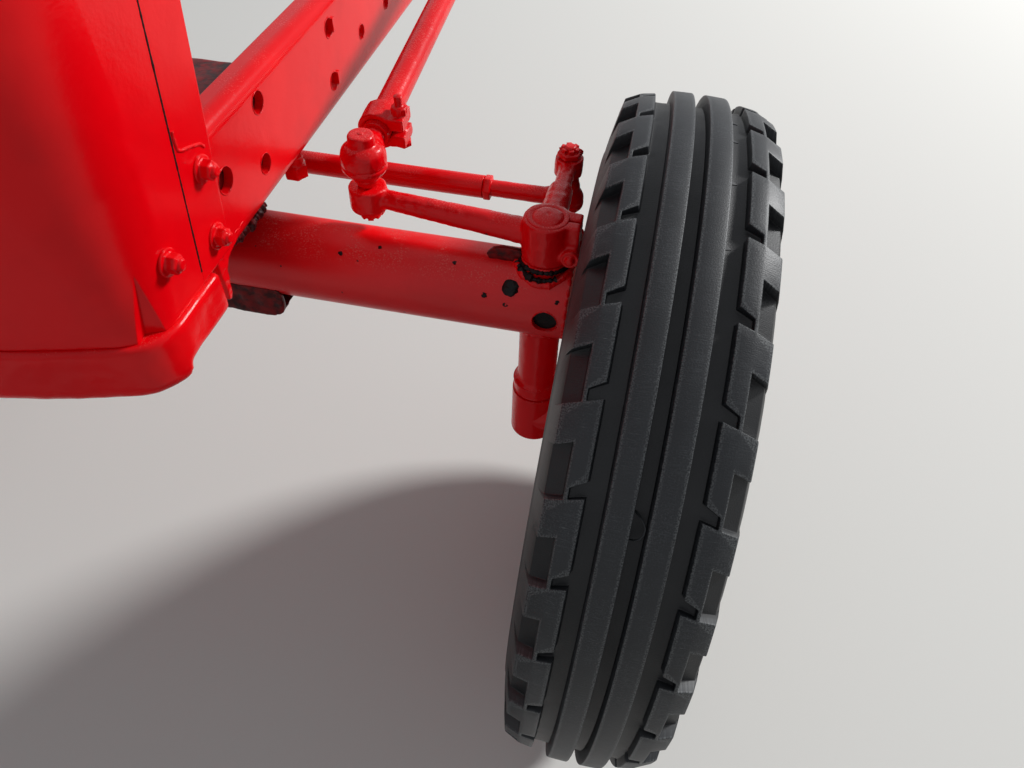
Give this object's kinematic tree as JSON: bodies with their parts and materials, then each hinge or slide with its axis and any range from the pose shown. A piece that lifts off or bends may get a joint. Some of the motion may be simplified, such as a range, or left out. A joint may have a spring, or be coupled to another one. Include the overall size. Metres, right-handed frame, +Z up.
{
  "type": "tractor front end with steered axle",
  "caption": "Front end of a farm tractor: channel rails, rounded nose and radiator over a swinging tube axle with steering linkage and ribbed narrow tyres.",
  "frame": {"origin": "centre of the engine plate's rear face, midway between the rails", "axes": "+X to the tractor's left, +Y to its rear, +Z up"},
  "size_m": [1.437, 1.0644, 1.1153],
  "materials": {
    "red_paint": "glossy brushed-on enamel",
    "cast_iron": "painted casting",
    "bare_steel": "turned",
    "black_paint": "dull black",
    "rim_paint": "satin enamel",
    "lamp_bowl": "polished reflector",
    "tyre": "dark rubber with grey scuffs"
  },
  "bodies": {
    "frame": {"rail_left": "red_paint", "rail_right": "red_paint", "rail_lug_left": "red_paint", "rail_lug_right": "red_paint", "engine_plate": "red_paint", "pivot_bracket": "cast_iron", "pivot_pin": "bare_steel", "crossbar": "red_paint", "bolster": "red_paint", "nose_cowl": "red_paint", "grille": "red_paint", "headlamp_left": "lamp_bowl", "headlamp_right": "lamp_bowl", "upright_left": "red_paint", "upright_right": "red_paint", "radiator_core": "black_paint", "radiator_bottom_tank": "black_paint", "radiator_top_tank": "black_paint"},
    "axle": {"axle_tube": "red_paint", "axle_saddle": "red_paint", "kingpin_housing_left": "red_paint", "kingpin_housing_right": "red_paint"},
    "knuckle_left": {"spindle_left": "red_paint", "steering_arm_left": "red_paint"},
    "knuckle_right": {"spindle_right": "red_paint", "steering_arm_right": "red_paint"},
    "tie_rod": {"tie_rod_tube": "red_paint", "tie_rod_end_left": "red_paint", "tie_rod_end_right": "red_paint"},
    "drag_link": {"drag_link_tube": "red_paint", "drag_link_clamp": "red_paint", "drag_link_end_front": "red_paint", "drag_link_end_rear": "red_paint"},
    "wheel_left": {"hub_left": "red_paint", "hub_cap_left": "red_paint", "rim_left": "rim_paint", "tyre_left": "tyre"},
    "wheel_right": {"hub_right": "red_paint", "hub_cap_right": "red_paint", "rim_right": "rim_paint", "tyre_right": "tyre"}
  },
  "joints": [
    {"name": "axle_pivot", "type": "hinge", "parent": "frame", "child": "axle", "pos_m": [0, -0.64, -0.1275], "axis": [0, 1, 0], "range_deg": [-5, 5]},
    {"name": "steer_left", "type": "hinge", "parent": "axle", "child": "knuckle_left", "pos_m": [0.522, -0.64, -0.1275], "axis": [0, 0, 1], "range_deg": [-42, 42]},
    {"name": "steer_right", "type": "hinge", "parent": "axle", "child": "knuckle_right", "pos_m": [-0.522, -0.64, -0.1275], "axis": [0, 0, 1], "range_deg": [-42, 42]},
    {"name": "tie_rod_turn", "type": "hinge", "parent": "knuckle_left", "child": "tie_rod", "pos_m": [0.522, -0.5, -0.0685], "axis": [0, 0, 1], "range_deg": [-42, 42]},
    {"name": "drag_link_turn", "type": "hinge", "parent": "knuckle_left", "child": "drag_link", "pos_m": [0.344, -0.62, -0.0555], "axis": [0, 0, 1], "range_deg": [-42, 42]},
    {"name": "wheel_left_spin", "type": "hinge", "parent": "knuckle_left", "child": "wheel_left", "pos_m": [0.522, -0.64, -0.2995], "axis": [0.9996, 0, -0.0297], "continuous": true},
    {"name": "wheel_right_spin", "type": "hinge", "parent": "knuckle_right", "child": "wheel_right", "pos_m": [-0.522, -0.64, -0.2995], "axis": [0.9996, 0, 0.0297], "continuous": true}
  ],
  "couplings": [
    {"joint": "steer_right", "follows": "steer_left", "ratio": 1},
    {"joint": "tie_rod_turn", "follows": "steer_left", "ratio": -1},
    {"joint": "drag_link_turn", "follows": "steer_left", "ratio": -1}
  ]
}
